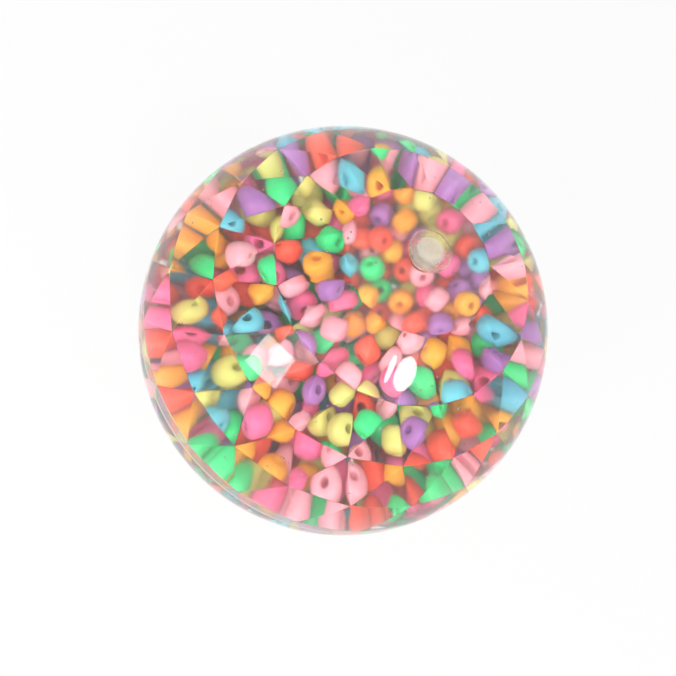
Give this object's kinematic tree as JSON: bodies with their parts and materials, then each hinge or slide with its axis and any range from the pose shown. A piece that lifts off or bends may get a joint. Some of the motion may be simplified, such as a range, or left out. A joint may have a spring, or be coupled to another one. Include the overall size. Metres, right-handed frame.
{
  "type": "bouncy ball",
  "caption": "Clear, thick-walled bouncy ball with a faceted inner wall, a bonded seam and a fill plug, about half full of loose opaque pastel beads.",
  "frame": {"origin": "centre of the ball", "axes": "+Z from the centre through the middle of the fill plug, square to the seam; +X through a corner of the facets' ring at the upper window"},
  "size_m": [0.07, 0.07, 0.07],
  "materials": {
    "clear_wall": "clear, glossy",
    "seam_bond": "milky, satin",
    "fill_plug": "cloudy, glossy",
    "bead_orange": "opaque, semi-gloss",
    "bead_mint": "opaque, semi-gloss",
    "bead_rose": "opaque, semi-gloss",
    "bead_blush": "opaque, semi-gloss",
    "bead_lavender": "opaque, semi-gloss",
    "bead_sky": "opaque, semi-gloss",
    "bead_lemon": "opaque, semi-gloss",
    "bead_coral": "opaque, semi-gloss"
  },
  "bodies": {
    "root": {"upper_shell": "clear_wall", "lower_shell": "clear_wall", "seam_bond": "seam_bond", "fill_plug": "fill_plug", "beads_orange": "bead_orange", "beads_mint": "bead_mint", "beads_rose": "bead_rose", "beads_blush": "bead_blush", "beads_lavender": "bead_lavender", "beads_sky": "bead_sky", "beads_lemon": "bead_lemon", "beads_coral": "bead_coral"}
  },
  "joints": []
}
